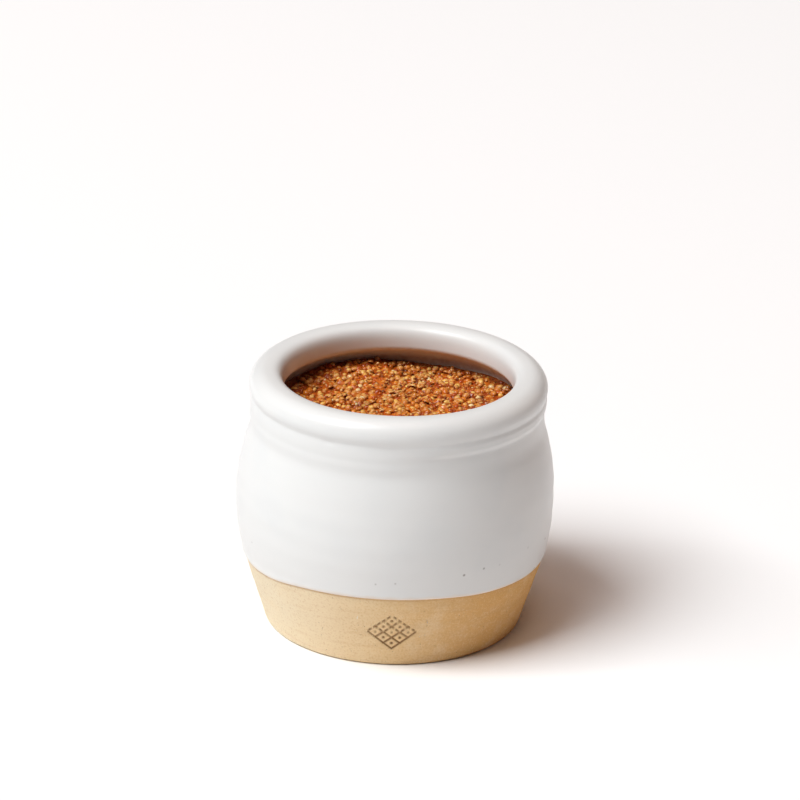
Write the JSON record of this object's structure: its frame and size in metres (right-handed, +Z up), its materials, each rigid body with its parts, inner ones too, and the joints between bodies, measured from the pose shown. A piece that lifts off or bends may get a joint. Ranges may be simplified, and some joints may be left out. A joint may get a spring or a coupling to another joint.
{
  "type": "pickle pot",
  "caption": "Small stoneware pot with a rolled rim, white glaze over a bare clay foot, filled almost to the rim with whole-grain mustard.",
  "frame": {"origin": "on the ground, at the centre of the pot's box seen from above, under its axis", "axes": "+Z up along the pot's axis, out of its mouth. The picture looks along +Y and down, with +X to the right"},
  "size_m": [0.0902, 0.0902, 0.0749],
  "materials": {
    "glazed_stoneware": "gloss",
    "whole_grain_mustard": "satin"
  },
  "bodies": {
    "root": {"pot": "glazed_stoneware", "mustard": "whole_grain_mustard"}
  },
  "joints": []
}
